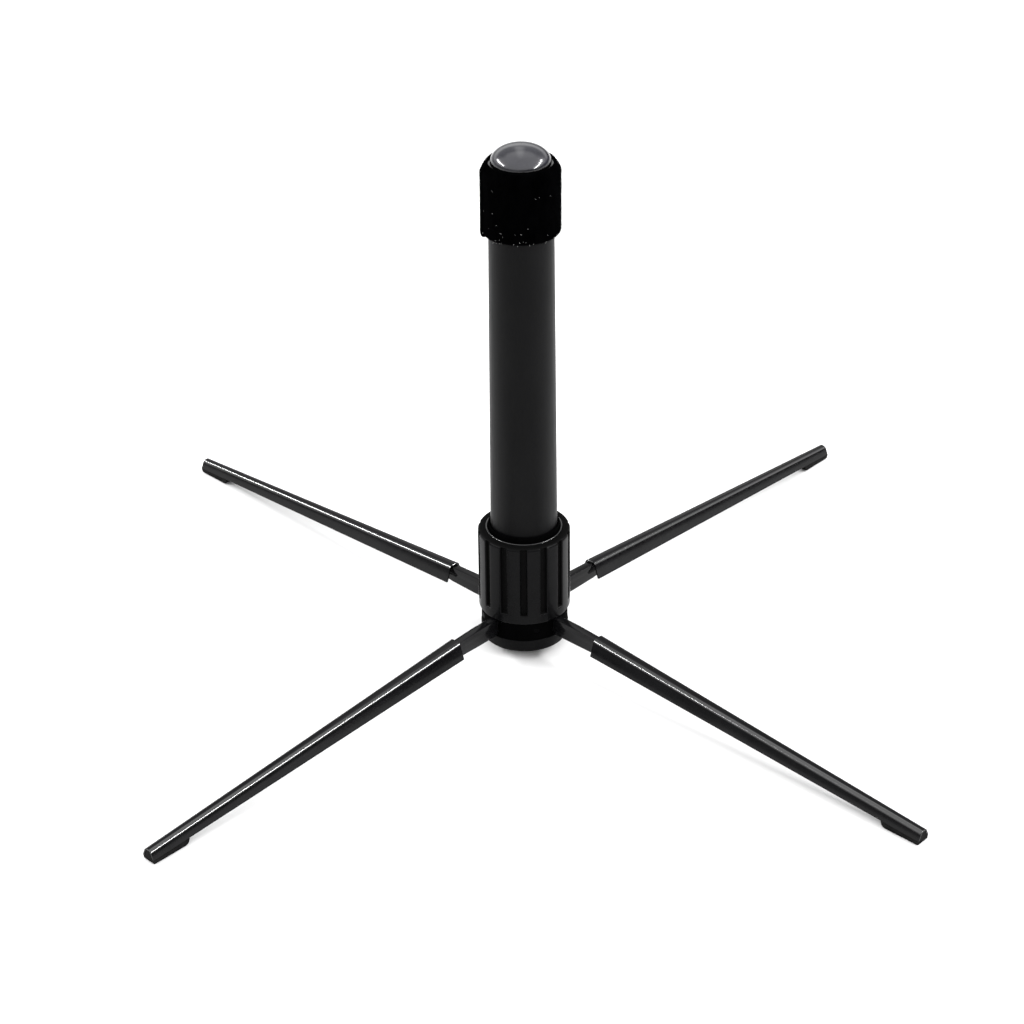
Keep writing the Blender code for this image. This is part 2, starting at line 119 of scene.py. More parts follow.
BAND_INNER_RADIUS = 10.2 * MM
BAND_SHOULDER = 1.8 * MM
TUBE_BOTTOM = 30.4 * MM
TUBE_TOP = 172.6 * MM
TUBE_FOOT_RADIUS = 11.13 * MM
TUBE_HEAD_RADIUS = 10.13 * MM
TUBE_FOOT_WALL = 1.2 * MM
TUBE_HEAD_WALL = 0.8 * MM
CAP_RADIUS = 10.1 * MM
CAP_RIM_Z = 172.9 * MM
CAP_SIDE = 0.4 * MM
CAP_DOME_RADIUS = 9.4 * MM
CAP_TOP = 178.6 * MM
CAP_PLUG_BOTTOM = 170.4 * MM
CAP_PLUG_RADIUS = 9.0 * MM
CAP_PLUG_BORE_RADIUS = 7.6 * MM
CAP_ROOF = 1.4 * MM          # of the plug's bore, below the rim

# Dimensions of what is only in the looks
DOME_FULLNESS = 0.98         # 1 is an ellipse, less is fuller
FLANGE_THICKNESS = 0.25 * MM
ARM_BEND = 1.1 * MM
ARM_END_EDGE = 0.1 * MM
BEND_NORMAL_Z = (0.40, 0.985)     # upward part of a normal on the bends, where the paint is rubbed
BLADE_EDGE = 0.22 * MM
THREAD_PITCH = 1.5 * MM
GRIP_THREAD_BOTTOM = 15.3 * MM
GRIP_THREAD_TOP = 25.6 * MM
GRIP_THREAD_DEPTH = 0.17 * MM
BOSS_THREAD_BOTTOM = 15.2 * MM
BOSS_THREAD_DEPTH = 0.19 * MM
BOSS_THREAD_TURNS = 7
SLOT_CLEARANCE_DEG = 10.0    # between a hub slot's middle and the end of a ridge
SEAM_DEG = 196.0
OVERLAP_DEG = 20.0
OVERLAP_THICKNESS = 0.38 * MM
PILE_MARGIN = 0.35 * MM      # from the velvet's backing to the CAD band's face
PILE_STRANDS = 15000
LINT_FIBRES = 72

# Floor
FLOOR_SIZE = 60.0
FLOOR_DROP = 0.3 * MM

# Softboxes: place, direction of the long side, size and power
TOP_BOX = ((0.0, 0.1, 1.5), (1.0, 0.0, 0.0), (2.4, 2.4), 8.0)
LEFT_STRIP = ((-1.2, 0.13, 0.86), (0.0, 1.0, 0.07), (1.08, 0.08), 18.0)
RIGHT_STRIP = ((0.97, -0.22, 0.72), (0.0, 1.19, 0.45), (1.27, 0.08), 18.0)


# Shapes

def arc(centre, radii, start_deg, end_deg, steps):
    """Points on an elliptical arc in a plane."""
    points = []
    for step in range(steps + 1):
        angle = math.radians(start_deg + (end_deg - start_deg) * step / steps)
        points.append((centre[0] + radii[0] * math.cos(angle), centre[1] + radii[1] * math.sin(angle)))
    return points


def ease(low, high, value):
    """0 below low, 1 above high and a smooth step between."""
    share = min(max((value - low) / (high - low), 0.0), 1.0)
    return share * share * (3.0 - 2.0 * share)


def rounded(outline, radius, closed=True, steps=4):
    """Round the corners of an outline. A point may bring its own radius as a third value."""
    points = []
    count = len(outline)
    for index, corner in enumerate(outline):
        own = corner[2] if len(corner) > 2 else radius
        here = Vector(corner[:2])
        if not closed and index in (0, count - 1):
            points.append(tuple(here))
            continue
        back = Vector(outline[index - 1][:2]) - here
        ahead = Vector(outline[(index + 1) % count][:2]) - here
        reach = min(own, 0.45 * back.length, 0.45 * ahead.length)
        if reach < 0.01 * MM:
            points.append(tuple(here))
            continue
        start = here + back.normalized() * reach
        end = here + ahead.normalized() * reach
        for step in range(steps + 1):
            share = step / steps
            points.append(tuple(
                start * (1 - share) ** 2 + here * (2 * share * (1 - share)) + end * share ** 2))
    return points


def piece(name, verts, faces, material, body, slot_name, replaces=(), sharp_deg=40.0, place=None):
    """Make a shaded mesh object that rides on a body and may stand for CAD nodes."""
    mesh = bpy.data.meshes.new(name)
    mesh.from_pydata(verts, [], faces)
    work = bmesh.new()
    work.from_mesh(mesh)
    bmesh.ops.remove_doubles(work, verts=work.verts, dist=1e-7)
    bmesh.ops.recalc_face_normals(work, faces=work.faces)
    for face in work.faces:
        face.smooth = True
    work.to_mesh(mesh)
    work.free()
    mesh.set_sharp_from_angle(angle=math.radians(sharp_deg))
    mesh.materials.append(material)
    obj = bpy.data.objects.new(name, mesh)
    bpy.context.scene.collection.objects.link(obj)
    if place is not None:
        mesh.transform(place)
    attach(obj, body)
    if replaces:
        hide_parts(*replaces)
    return obj


def revolve(outline, steps, closed=True):
    """Vertices and quads of an outline of (radius, z) points turned round Z."""
    verts = []
    for column in range(steps):
        angle = 2 * math.pi * column / steps
        verts += [(r * math.cos(angle), r * math.sin(angle), z) for r, z in outline]
    return verts, round_faces(len(outline), steps, closed)


def round_faces(count, steps, closed=True):
    """Quads between columns of points that go round once."""
    faces = []
    spans = count if closed else count - 1
    for column in range(steps):
        here = column * count
        there = (column + 1) % steps * count
        for row in range(spans):
            after = (row + 1) % count
            faces.append((here + row, there + row, there + after, here + after))
    return faces


def loft(rings):
    """Vertices and faces that join rings of equal length, one after another, with closed ends."""
    count = len(rings[0])
    verts = [point for ring in rings for point in ring]
    faces = []
    for step in range(len(rings) - 1):
        for index in range(count):
            after = (index + 1) % count
            faces.append((
                step * count + index, step * count + after,
                (step + 1) * count + after, (step + 1) * count + index))
    faces.append(tuple(range(count)))
    faces.append(tuple((len(rings) - 1) * count + index for index in range(count)))
    return verts, faces


# Materials

class Nodes:
    """A small helper for building a Principled material from nodes."""

    def __init__(self, name, constants):
        self.material = bpy.data.materials.new(name)
        self.material.use_nodes = True
        self.tree = self.material.node_tree
        self.shader = self.tree.nodes["Principled BSDF"]
        for socket, value in constants.items():
            self.shader.inputs[socket].default_value = value
        self.where = self.add("ShaderNodeTexCoord").outputs["Object"]

    def add(self, kind, inputs=None, **settings):
        """Add a node, set its properties, and fill or link its inputs."""
        node = self.tree.nodes.new(kind)
        for key, value in settings.items():
            setattr(node, key, value)
        for key, value in (inputs or {}).items():
            if isinstance(value, bpy.types.NodeSocket):
                self.tree.links.new(value, node.inputs[key])
            else:
                node.inputs[key].default_value = value
        return node

    def noise(self, size, stretch=(1.0, 1.0, 1.0), detail=2.0, roughness=0.5):
        """Noise whose features are about size metres across, divided by stretch along each axis."""
        spread = self.add("ShaderNodeMapping", {"Vector": self.where, "Scale": stretch})
        texture = self.add("ShaderNodeTexNoise", {
            "Vector": spread.outputs["Vector"], "Scale": 1.0 / size,
            "Detail": detail, "Roughness": roughness})
        return texture.outputs["Fac"]

    def ramp(self, value, stops):
        """A colour ramp through (position, grey or colour) stops."""
        node = self.add("ShaderNodeValToRGB", {"Fac": value})
        elements = node.color_ramp.elements
        while len(elements) < len(stops):
            elements.new(0.5)
        for element, (position, colour) in zip(elements, stops):
            element.position = position
            grey = isinstance(colour, float)
            element.color = (colour, colour, colour, 1.0) if grey else (*colour, 1.0)
        return node.outputs["Color"]

    def span(self, value, low, high, source=(0.3, 0.7)):
        """Map a value from its source range to low..high."""
        node = self.add("ShaderNodeMapRange", {
            "Value": value, "From Min": source[0], "From Max": source[1],
            "To Min": low, "To Max": high})
        return node.outputs["Result"]

    def mix(self, first, second, factor):
        """Mix two colours."""
        node = self.add("ShaderNodeMix", data_type="RGBA")
        for index, value in ((0, factor), (6, first), (7, second)):
            if isinstance(value, bpy.types.NodeSocket):
                self.tree.links.new(value, node.inputs[index])
            else:
                node.inputs[index].default_value = value
        return node.outputs[2]

    def bump(self, heights):
        """Chain bumps of (height, depth in metres, strength) into the shader's normal."""
        normal = None
        for height, depth, strength in heights:
            inputs = {"Height": height, "Distance": depth, "Strength": strength}
            if normal is not None:
                inputs["Normal"] = normal
            normal = self.add("ShaderNodeBump", inputs).outputs["Normal"]
        self.link(normal, "Normal")

    def link(self, value, socket):
        """Link a value to the shader."""
        self.tree.links.new(value, self.shader.inputs[socket])


def moulded_plastic(name, dark, light, roughness, specular, grain=0.35 * MM, depth=0.012 * MM):
    """Black moulding: fine spark-eroded grain, cloudy tone and a few rubbed patches."""
    n = Nodes(name, {"Specular IOR Level": specular})
    cloud = n.noise(9.0 * MM, detail=3.0)
    fine = n.noise(grain, detail=2.0, roughness=0.6)
    rubbed = n.noise(3.0 * MM, (1.0, 1.0, 0.25), detail=4.0)
    tone = n.ramp(cloud, [(0.3, dark), (0.7, light)])
    worn = n.ramp(rubbed, [(0.62, 0.0), (0.74, 1.0)])
    n.link(n.mix(tone, tuple(2.5 * c for c in light) + (1.0,), n.span(worn, 0.0, 0.3, (0.0, 1.0))),
           "Base Color")
    n.link(n.span(fine, roughness - 0.05, roughness + 0.06), "Roughness")
    n.bump([(fine, depth, 0.6), (cloud, 0.05 * MM, 0.15)])
    return n.material


def ribbed_plastic():
    """The grip's moulding: handled lands, and grooves left dull from the tool and darkened with painted
    shade.
    """
    n = Nodes("ribbed_plastic", {"Specular IOR Level": 0.06})
    cloud = n.noise(9.0 * MM, detail=3.0)
    fine = n.noise(0.35 * MM, detail=2.0, roughness=0.6)
    flat = n.add("ShaderNodeVectorMath", {0: n.where, 1: (1.0, 1.0, 0.0)}, operation="MULTIPLY")
    from_axis = n.add("ShaderNodeVectorMath", {0: flat.outputs[0]}, operation="LENGTH").outputs["Value"]
    land = n.span(from_axis, 0.0, 1.0, (GRIP_RADIUS - 0.55 * MM, GRIP_RADIUS - 0.12 * MM))
    tone = n.ramp(cloud, [(0.3, (0.0014, 0.0014, 0.0016)), (0.7, (0.0030, 0.0030, 0.0033))])
    # Painted shade: the groove floors get a near-black colour, darker than the lands, standing in for the
    # shade in the recesses.
    n.link(n.mix((0.0003, 0.0003, 0.0003, 1.0), tone, land), "Base Color")
    worn = n.span(fine, 0.17, 0.25)
    dull = n.add("ShaderNodeMix", {0: land, 2: 0.75, 3: worn}, data_type="FLOAT")
    n.link(dull.outputs[0], "Roughness")
    n.bump([(fine, 0.012 * MM, 0.6), (cloud, 0.05 * MM, 0.15)])
    return n.material


def gloss_plastic():
    """Polished black cap: hairline scratches, faint dust, and painted shade that darkens it towards the
    rim.
    """
    n = Nodes("gloss_plastic", {
        "Specular IOR Level": 0.5, "Coat Weight": 0.5, "Coat Roughness": 0.10, "Coat IOR": 1.45})
    haze = n.noise(4.0 * MM, detail=3.0)
    hair = n.noise(0.5 * MM, (1.0, 0.06, 1.0), detail=3.0, roughness=0.7)
    dust = n.noise(0.25 * MM, detail=1.0)
    tone = n.ramp(haze, [(0.3, (0.011, 0.011, 0.015)), (0.7, (0.019, 0.019, 0.025))])
    # Painted shade: towards the rim and on the flange the colour fades to near black, and the lighter grey
    # tone stays on the upper dome.
    height = n.add("ShaderNodeSeparateXYZ", {"Vector": n.where}).outputs["Z"]
    rim_painted_shade_fade = n.span(height, 0.0, 1.0, (CAP_RIM_Z + CAP_SIDE + 0.4 * MM, CAP_RIM_Z + CAP_SIDE + 1.6 * MM))
    tone = n.mix((0.0005, 0.0005, 0.0006, 1.0), tone, rim_painted_shade_fade)
    specks = n.ramp(dust, [(0.74, 0.0), (0.80, 1.0)])
    n.link(n.mix(tone, (0.09, 0.09, 0.09, 1.0), n.span(specks, 0.0, 0.5, (0.0, 1.0))), "Base Color")
    n.link(n.span(hair, 0.14, 0.24), "Roughness")
    n.bump([(hair, 0.004 * MM, 0.35), (haze, 0.05 * MM, 0.12)])
    return n.material


def satin_tube():
    """Satin black tube: a fine drawn grain along its length and soft cloudy handling marks."""
    n = Nodes("satin_tube", {"Specular IOR Level": 0.068})
    grain = n.noise(0.5 * MM, (1.0, 1.0, 0.05), detail=3.0, roughness=0.6)
    cloud = n.noise(16.0 * MM, (1.0, 1.0, 0.5), detail=3.0)
    peel = n.noise(0.8 * MM, detail=1.0)
    tone = n.ramp(cloud, [(0.3, (0.0014, 0.0014, 0.0016)), (0.7, (0.0030, 0.0030, 0.0033))])
    n.link(tone, "Base Color")
    n.link(n.span(grain, 0.38, 0.48), "Roughness")
    n.bump([(grain, 0.006 * MM, 0.4), (peel, 0.010 * MM, 0.3)])
    return n.material


def painted_steel(name, specular):
    """Black paint on pressed steel: slight orange peel, thin scuffs and a few chips."""
    n = Nodes(name, {"Specular IOR Level": specular})
    peel = n.noise(1.6 * MM, detail=1.0)
    cloud = n.noise(14.0 * MM, detail=3.0)
    scuff = n.noise(1.1 * MM, (0.25, 0.25, 1.0), detail=5.0, roughness=0.7)
    tone = n.ramp(cloud, [(0.3, (0.0016, 0.0016, 0.0018)), (0.7, (0.0034, 0.0034, 0.0038))])
    marks = n.ramp(scuff, [(0.70, 0.0), (0.78, 1.0)])
    n.link(n.mix(tone, (0.04, 0.04, 0.042, 1.0), n.span(marks, 0.0, 0.35, (0.0, 1.0))), "Base Color")
    n.link(n.span(peel, 0.11, 0.16), "Roughness")
    n.bump([(peel, 0.003 * MM, 0.3), (cloud, 0.05 * MM, 0.05)])
    return n.material


def rubber():
    """Dull black rubber with a fine moulded texture and dusty wear."""
    n = Nodes("rubber", {"Specular IOR Level": 0.08})
    grit = n.noise(0.22 * MM, detail=3.0, roughness=0.65)
    dusty = n.noise(2.5 * MM, detail=4.0)
    tone = n.ramp(dusty, [(0.35, (0.0010, 0.0010, 0.0010)), (0.75, (0.0050, 0.0050, 0.0048))])
    n.link(tone, "Base Color")
    n.link(n.span(grit, 0.66, 0.84), "Roughness")
    n.bump([(grit, 0.02 * MM, 0.7)])
    return n.material


def metal(name, dark, light, roughness):
    """Turned steel: fine tool rings and cloudy tone."""
    n = Nodes(name, {"Metallic": 1.0})
    cloud = n.noise(1.5 * MM, detail=3.0)
    rings = n.noise(0.12 * MM, (1.0, 1.0, 4.0), detail=2.0)
    n.link(n.ramp(cloud, [(0.3, dark), (0.7, light)]), "Base Color")
    n.link(n.span(rings, roughness - 0.08, roughness + 0.1), "Roughness")
    n.bump([(rings, 0.004 * MM, 0.5)])
    return n.material


def velvet():
    """Black velvet: almost no reflection but the sheen of its pile, brushed in patches."""
    n = Nodes("velvet", {
        "Specular IOR Level": 0.0, "Sheen Weight": 0.006, "Sheen Roughness": 0.4,
        "Sheen Tint": (0.6, 0.6, 0.65, 1.0)})
    nap = n.noise(3.0 * MM, (1.0, 1.0, 0.5), detail=3.0)
    fibre = n.noise(0.16 * MM, (1.0, 1.0, 0.4), detail=2.0)
    tone = n.ramp(nap, [(0.3, (0.0002, 0.0002, 0.00025)), (0.7, (0.0006, 0.0006, 0.0007))])
    n.link(tone, "Base Color")
    n.link(n.span(fibre, 0.9, 1.0), "Roughness")
    n.bump([(fibre, 0.08 * MM, 1.0)])
    return n.material


def lint():
    """Pale dust fibres."""
    n = Nodes("lint", {"Specular IOR Level": 0.1, "Roughness": 0.9})
    tone = n.noise(0.4 * MM, detail=2.0)
    n.link(n.ramp(tone, [(0.3, (0.15, 0.15, 0.15)), (0.7, (0.60, 0.60, 0.58))]), "Base Color")
    return n.material


def make_materials():
    """One material for each slot of the record."""
    return {
        "gloss_plastic": gloss_plastic(),
        "velvet": velvet(),
        "lint": lint(),
        "satin_tube": satin_tube(),
        "ribbed_plastic": ribbed_plastic(),
        "satin_plastic": moulded_plastic(
            "satin_plastic", (0.0008, 0.0008, 0.0009), (0.0016, 0.0016, 0.0018), 0.36, 0.06),
        "polished_edge": moulded_plastic(
            "polished_edge", (0.0014, 0.0014, 0.0016), (0.0026, 0.0026, 0.0029), 0.14, 0.80,
            depth=0.003 * MM),
        "matte_plastic": moulded_plastic(
            "matte_plastic", (0.0003, 0.0003, 0.0003), (0.0008, 0.0008, 0.0009), 0.7, 0.005),
        "painted_steel": painted_steel("painted_steel", 0.15),
        "polished_bend": painted_steel("polished_bend", 1.0),
        "rubber": rubber(),
        "steel": metal("steel", (0.40, 0.40, 0.41), (0.55, 0.55, 0.56), 0.32),
        "dark_steel": metal("dark_steel", (0.0006, 0.0006, 0.0007), (0.0012, 0.0012, 0.0014), 0.6),
    }


# Pieces

def build_turned(materials):
    """The cap, the tube, the socket and the plate."""
    rim = CAP_RIM_Z + CAP_SIDE
    dome = []
    for step in range(25):
        angle = math.radians(90.0 - 88.0 * step / 24)
        dome.append((
            CAP_DOME_RADIUS * math.cos(angle) ** DOME_FULLNESS,
            rim + (CAP_TOP - rim) * math.sin(angle) ** DOME_FULLNESS))
    flange = CAP_RIM_Z + 0.02 * MM
    under = flange - FLANGE_THICKNESS
    roof = CAP_RIM_Z - CAP_ROOF
    skirt = rounded([
        (CAP_DOME_RADIUS + 0.02 * MM, rim - 0.1 * MM), (CAP_DOME_RADIUS + 0.04 * MM, flange, 0.05 * MM),
        (CAP_RADIUS, flange, 0.04 * MM), (CAP_RADIUS, under, 0.04 * MM), (CAP_PLUG_RADIUS, under),
        (CAP_PLUG_RADIUS, CAP_PLUG_BOTTOM), (CAP_PLUG_BORE_RADIUS, CAP_PLUG_BOTTOM),
        (CAP_PLUG_BORE_RADIUS, roof), (0.0, roof)], 0.15 * MM, closed=False)
    piece("cap", *revolve(dome + skirt, 160, closed=False), materials["gloss_plastic"], "stem",
          "gloss_plastic", ["end_cap"], sharp_deg=35.0)

    tube = rounded([
        (TUBE_HEAD_RADIUS, TUBE_TOP), (TUBE_FOOT_RADIUS, TUBE_BOTTOM),
        (TUBE_FOOT_RADIUS - TUBE_FOOT_WALL, TUBE_BOTTOM),
        (TUBE_HEAD_RADIUS - TUBE_HEAD_WALL, TUBE_TOP)], 0.2 * MM)
    piece("tube", *revolve(tube, 160), materials["satin_tube"], "stem", "satin_tube", ["stem_tube"])

    flange_top = GRIP_LIP_BOTTOM - 0.3 * MM
    seat = TUBE_BOTTOM - 0.3 * MM
    lip = SOCKET_TOP - 0.2 * MM
    socket = rounded([
        (SOCKET_SEAT_RADIUS + 0.1 * MM, SOCKET_TOP, 0.05 * MM),
        (SOCKET_COLLAR_RADIUS, SOCKET_TOP, 0.12 * MM), (SOCKET_COLLAR_RADIUS, flange_top),
        (SOCKET_FLANGE_RADIUS, flange_top), (SOCKET_FLANGE_RADIUS, SOCKET_FLANGE_BOTTOM),
        (SOCKET_RADIUS, SOCKET_FLANGE_BOTTOM), (SOCKET_RADIUS, SOCKET_BOTTOM),
        (SOCKET_BORE_RADIUS, SOCKET_BOTTOM), (SOCKET_BORE_RADIUS, seat, 0.05 * MM),
        (SOCKET_SEAT_RADIUS, seat, 0.05 * MM), (SOCKET_SEAT_RADIUS, lip, 0.05 * MM)], 0.15 * MM)
    piece("socket", *revolve(socket, 160), materials["matte_plastic"], "stem", "matte_plastic",
          ["stem_socket"])

    plate = rounded([
        (PLATE_RECESS_RADIUS, PLATE_TOP), (PLATE_RADIUS, PLATE_TOP, 0.3 * MM),
        (PLATE_RADIUS, PLATE_BOTTOM, PLATE_ROUND), (SCREW_HEAD_SEAT_RADIUS, PLATE_BOTTOM),
        (SCREW_HOLE_RADIUS, SCREW_SEAT_TOP), (SCREW_HOLE_RADIUS, PLATE_FLOOR, 0.0),
        (PLATE_RECESS_RADIUS, PLATE_FLOOR)], 0.15 * MM, steps=6)
    piece("plate", *revolve(plate, 160), materials["satin_plastic"], "base", "satin_plastic",
          ["base_plate"])


def groove_depth(offset, height):
    """Depth of a grip groove at a distance along the round from its middle, and at a height."""
    across = 1.0 - ease(0.72, 1.04, abs(offset) / GROOVE_HALF_WIDTH)
    below = ease(GROOVE_BOTTOM - 0.1 * MM, GROOVE_BOTTOM + 0.5 * MM, height)
    above = 1.0 - ease(GROOVE_TOP - 0.35 * MM, GROOVE_TOP + 0.05 * MM, height)
    return GROOVE_DEPTH * across * below * above


def thread_height(angle, height):
    """0 in the grip thread's valley and 1 on its crest."""
    turn = (height / THREAD_PITCH - angle / (2 * math.pi)) % 1.0
    return ease(0.15, 0.45, turn) * (1.0 - ease(0.55, 0.85, turn))


def build_grip(materials):
    """The ribbed sleeve, with rounded grooves outside and a screw thread inside."""
    # Distances from a groove's middle, close together on its wall
    half = [0.0, 0.5, 0.82, 0.90, 0.97, 1.04, 1.11, 1.18, 1.25, 1.32, 1.6, 2.5]
    offsets = [-value * MM for value in reversed(half[1:])] + [value * MM for value in half]
    shoulder = GRIP_TOP - GRIP_BEAD_HEIGHT
    outer = arc((GRIP_RADIUS - GRIP_ROUND, shoulder - GRIP_ROUND), (GRIP_ROUND,) * 2, 90, 0, 18)
    # Heights down the outside, close together where the grooves run out
    levels = [42.0, 41.2, 38.0, 34.0, 30.0, 26.0, 22.0]
    levels += [18.6, 18.3, 18.1, 17.9, 17.7, 17.5, 17.3, 17.1, 16.0, 15.2]
    outer += [(GRIP_RADIUS, level * MM) for level in levels]
    foot = rounded([
        (GRIP_RADIUS, 15.0 * MM), (GRIP_RADIUS, GRIP_BOTTOM, 0.5 * MM),
        (GRIP_THREAD_RADIUS, GRIP_BOTTOM, 0.5 * MM), (GRIP_THREAD_RADIUS, 15.2 * MM)],
        0.1 * MM, closed=False)
    thread_rows = 54
    thread_length = GRIP_THREAD_TOP - GRIP_THREAD_BOTTOM
    inner = [
        (GRIP_THREAD_RADIUS, GRIP_THREAD_BOTTOM + thread_length * row / thread_rows)
        for row in range(thread_rows + 1)]
    inner += rounded([
        (GRIP_THREAD_RADIUS, 25.7 * MM), (GRIP_THREAD_RADIUS, 26.1 * MM),
        (GRIP_CHAMBER_RADIUS, 26.1 * MM), (GRIP_CHAMBER_RADIUS, GRIP_LIP_BOTTOM),
        (GRIP_LIP_RADIUS, GRIP_LIP_BOTTOM), (GRIP_LIP_RADIUS, shoulder - 0.3 * MM, 0.1 * MM),
        (GRIP_BEAD_RADIUS, shoulder - 0.3 * MM, 0.05 * MM), (GRIP_BEAD_RADIUS, shoulder, 0.05 * MM),
        (GRIP_RADIUS - GRIP_ROUND - 0.2 * MM, shoulder)],
        0.15 * MM, closed=False, steps=3)
    outline = outer + foot + inner
    verts = []
    steps = GROOVE_COUNT * len(offsets)
    for groove in range(GROOVE_COUNT):
        middle = math.radians(GROOVE_FIRST_DEG + 360.0 / GROOVE_COUNT * groove)
        for offset in offsets:
            angle = middle + offset / GRIP_RADIUS
            for radius, height in outline:
                if radius > GRIP_CHAMBER_RADIUS + MM:
                    radius -= groove_depth(offset, height)
                elif radius == GRIP_THREAD_RADIUS and GRIP_THREAD_BOTTOM < height < GRIP_THREAD_TOP:
                    radius -= GRIP_THREAD_DEPTH * thread_height(angle, height)
                verts.append((radius * math.cos(angle), radius * math.sin(angle), height))
    piece("grip", verts, round_faces(len(outline), steps), materials["ribbed_plastic"], "grip",
          "ribbed_plastic", ["grip_sleeve"], sharp_deg=60.0)

    bead = rounded([
        (GRIP_LIP_RADIUS, shoulder - 0.32 * MM, 0.02 * MM), (GRIP_LIP_RADIUS, GRIP_TOP, 0.32 * MM),
        (GRIP_BEAD_RADIUS - 0.02 * MM, GRIP_TOP, 0.32 * MM),
        (GRIP_BEAD_RADIUS - 0.02 * MM, shoulder - 0.32 * MM, 0.02 * MM)], 0.0, steps=8)
    piece("grip_bead", *revolve(bead, 200), materials["polished_edge"], "grip", "ribbed_plastic",
          sharp_deg=60.0)


def build_boss_thread(materials):
    """Thread ridges on the hub's boss, broken by the four slots."""
    clear = math.radians(SLOT_CLEARANCE_DEG)
    root = BOSS_RADIUS - 0.03 * MM
    steps = 14
    verts = []
    faces = []
    for turn in range(BOSS_THREAD_TURNS):
        for quarter in range(LEG_COUNT):
            start = math.radians(FIRST_LEG_DEG + 360.0 / LEG_COUNT * quarter) + clear
            end = start + 2 * math.pi / LEG_COUNT - 2 * clear
            rings = []
            for step in range(steps + 1):
                angle = start + (end - start) * step / steps
                run_in = min(1.0, 4.0 * min(step, steps - step) / steps)
                crest = BOSS_RADIUS + BOSS_THREAD_DEPTH * run_in + 0.005 * MM
                height = BOSS_THREAD_BOTTOM + THREAD_PITCH * (turn + angle / (2 * math.pi))
                rings.append([
                    (r * math.cos(angle), r * math.sin(angle), height + rise)
                    for r, rise in (
                        (root, -0.5 * MM), (crest, -0.12 * MM), (crest, 0.12 * MM), (root, 0.5 * MM))])
            part_verts, part_faces = loft(rings)
            faces += [tuple(index + len(verts) for index in face) for face in part_faces]
            verts += part_verts
    piece("boss_thread", verts, faces, materials["matte_plastic"], "base", "matte_plastic")


def arm_share(radius):
    """0 at an arm's root and 1 at its tip."""
    return (radius - ARM_ROOT_RADIUS) / (TIP_RADIUS - ARM_ROOT_RADIUS)


def arm_line(radius):
    """The height of an arm's top flat at a distance from the stem's axis."""
    return ARM_ROOT_TOP_Z + (TIP_TOP_Z - ARM_ROOT_TOP_Z) * arm_share(radius)


def arm_ring(radius, inset):
    """The folded sheet's cross section at a distance from the axis, drawn in by inset."""
    share = arm_share(radius)
    top_half, foot_half, height = [
        root + (tip - root) * share for root, tip in zip(ARM_ROOT_SECTION, ARM_TIP_SECTION)]
    lean = (foot_half - top_half) / height
    side = ARM_WALL * math.hypot(1.0, lean)
    top = arm_line(radius)
    low = top - height + inset
    high = top - inset
    roof = top - ARM_WALL + inset

    def half(level, back):
        """Half the sheet's outer width at a level, less a distance."""
        return top_half + lean * (top - level) - back

    outline = [
        (-half(low, inset), low), (-half(high, inset), high, ARM_BEND), (half(high, inset), high, ARM_BEND),
        (half(low, inset), low), (half(low, side - inset), low), (half(roof, side - inset), roof),
        (-half(roof, side - inset), roof), (-half(low, side - inset), low)]
    return [(radius, x, z) for x, z in rounded(outline, 0.1 * MM, steps=5)]


def blade_outline():
    """The side view of a blade, from the pivot: a round eye, a level bar and a bent end."""
    eye = arc((0.0, 0.0), (BLADE_HALF_HEIGHT,) * 2, 90, 270, 24)
    bend = BLADE_BEND_RADIUS - PIVOT_RADIUS
    root = ARM_ROOT_RADIUS - PIVOT_RADIUS
    end = BLADE_END_RADIUS - PIVOT_RADIUS
    root_top = arm_line(ARM_ROOT_RADIUS) - PIVOT_Z - BLADE_COVER
    end_top = arm_line(BLADE_END_RADIUS) - PIVOT_Z - BLADE_COVER
    return [
        *eye,
        (bend, -BLADE_HALF_HEIGHT),
        (root, root_top - BLADE_ROOT_SHARE * BLADE_HALF_HEIGHT),
        (end, end_top - BLADE_END_SHARE * BLADE_HALF_HEIGHT),
        (end, end_top),
        (root, root_top),
        (bend, BLADE_HALF_HEIGHT),
    ]


def build_blade(name, body, node, place, material):
    """A blade with eased edges and a pin hole."""
    curve = bpy.data.curves.new(name, "CURVE")
    curve.dimensions = "2D"
    curve.fill_mode = "BOTH"
    curve.extrude = BLADE_THICKNESS / 2 - BLADE_EDGE
    curve.bevel_depth = BLADE_EDGE
    curve.bevel_resolution = 3
    curve.offset = -BLADE_EDGE
    for points in (blade_outline(), arc((0.0, 0.0), (PIN_HOLE_RADIUS,) * 2, 0, 348.75, 31)):
        spline = curve.splines.new("POLY")
        spline.points.add(len(points) - 1)
        for point, (x, y) in zip(spline.points, points):
            point.co = (x, y, 0.0, 1.0)
        spline.use_cyclic_u = True
    draft = bpy.data.objects.new(f"{name}_draft", curve)
    bpy.context.scene.collection.objects.link(draft)
    bpy.context.view_layer.update()
    mesh = bpy.data.meshes.new_from_object(draft.evaluated_get(bpy.context.evaluated_depsgraph_get()))
    bpy.data.objects.remove(draft, do_unlink=True)
    stand_up = Matrix.Rotation(math.radians(90.0), 4, "X")
    verts = [place @ (Vector((PIVOT_RADIUS, 0.0, PIVOT_Z)) + stand_up @ vert.co)
             for vert in mesh.vertices]
    faces = [tuple(face.vertices) for face in mesh.polygons]
    piece(name, [tuple(vert) for vert in verts], faces, material, body, "painted_steel", [node],
          sharp_deg=15.0)


